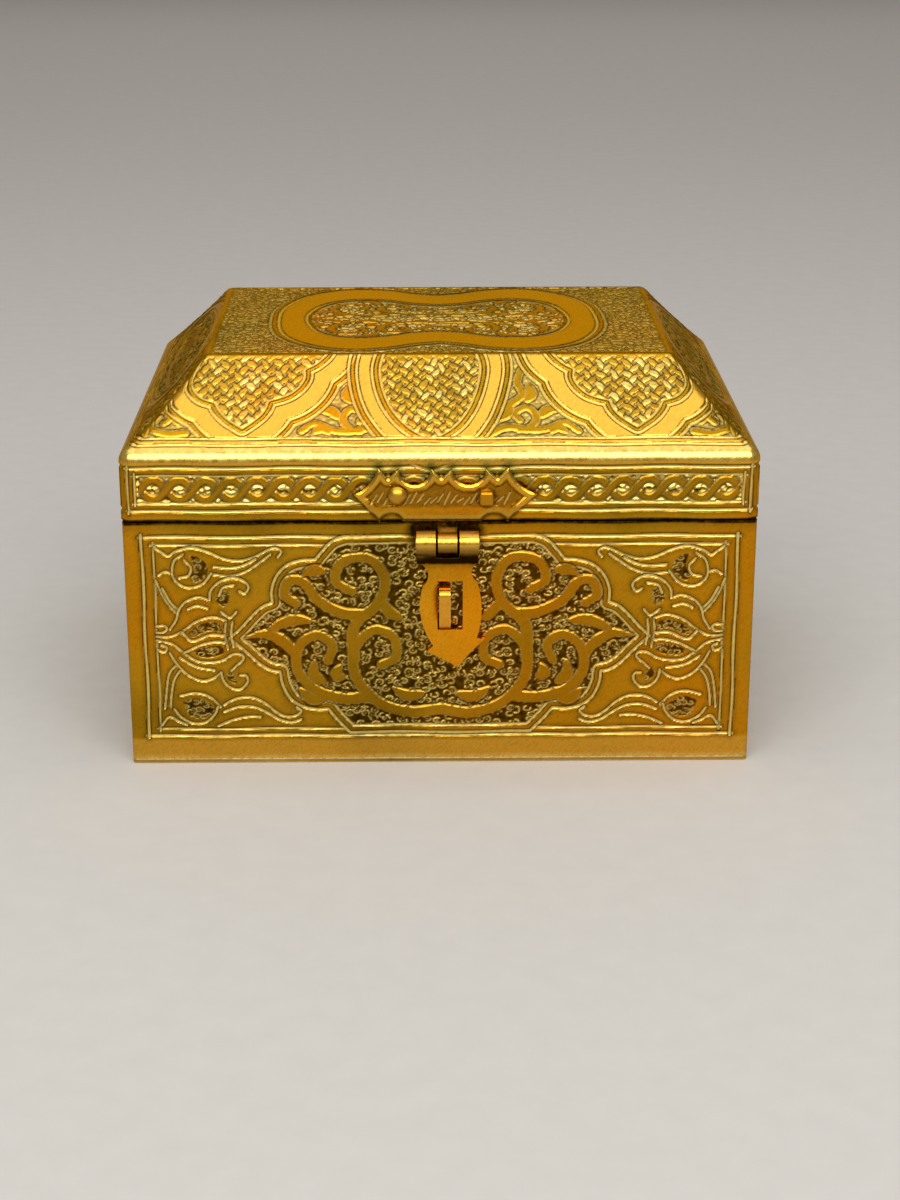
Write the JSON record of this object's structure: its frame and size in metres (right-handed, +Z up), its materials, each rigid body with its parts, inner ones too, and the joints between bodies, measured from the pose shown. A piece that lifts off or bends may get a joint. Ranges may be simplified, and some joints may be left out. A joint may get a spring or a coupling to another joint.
{
  "type": "hinged brass box",
  "caption": "Rectangular engraved sheet-brass box with a hipped hinged lid and a front hasp that drops over a staple.",
  "frame": {"origin": "centre of the underside of the base plate", "axes": "+Z up, +X along the long side to the viewer's right, -Y out of the front with the hasp"},
  "size_m": [0.1206, 0.1019, 0.0781],
  "materials": {
    "engraved_brass": "chased and engraved sheet, worn bright on the high places and brown in the grooves",
    "plain_brass": "plain sheet, dull",
    "hasp_brass": "filed sheet, rubbed bright, tarnished at the edges",
    "rivet_brass": "hammered heads, rubbed",
    "pin_brass": "drawn wire, dull"
  },
  "bodies": {
    "box": {"base_plate": "plain_brass", "front_wall": "engraved_brass", "back_wall": "engraved_brass", "left_wall": "engraved_brass", "right_wall": "engraved_brass", "staple": "hasp_brass", "left_hinge_body_leaf": "hasp_brass", "left_hinge_body_rivets": "rivet_brass", "left_hinge_pin": "pin_brass", "right_hinge_body_leaf": "hasp_brass", "right_hinge_body_rivets": "rivet_brass", "right_hinge_pin": "pin_brass"},
    "lid": {"lid_top": "engraved_brass", "lid_front": "engraved_brass", "lid_back": "engraved_brass", "lid_left": "engraved_brass", "lid_right": "engraved_brass", "hasp_plate": "hasp_brass", "hasp_left_rivet": "rivet_brass", "hasp_right_rivet": "rivet_brass", "hasp_pin": "pin_brass", "left_hinge_lid_leaf": "hasp_brass", "left_hinge_lid_rivets": "rivet_brass", "right_hinge_lid_leaf": "hasp_brass", "right_hinge_lid_rivets": "rivet_brass"},
    "hasp": {"hasp_tongue": "hasp_brass"}
  },
  "joints": [
    {"name": "lid_hinge", "type": "hinge", "parent": "box", "child": "lid", "pos_m": [0, 0.04865, 0.0494], "axis": [-1, 0, 0], "range_deg": [0, 110]},
    {"name": "hasp_swing", "type": "hinge", "parent": "lid", "child": "hasp", "pos_m": [0.00135, -0.04875, 0.0459], "axis": [-1, 0, 0], "range_deg": [0, 180]}
  ]
}
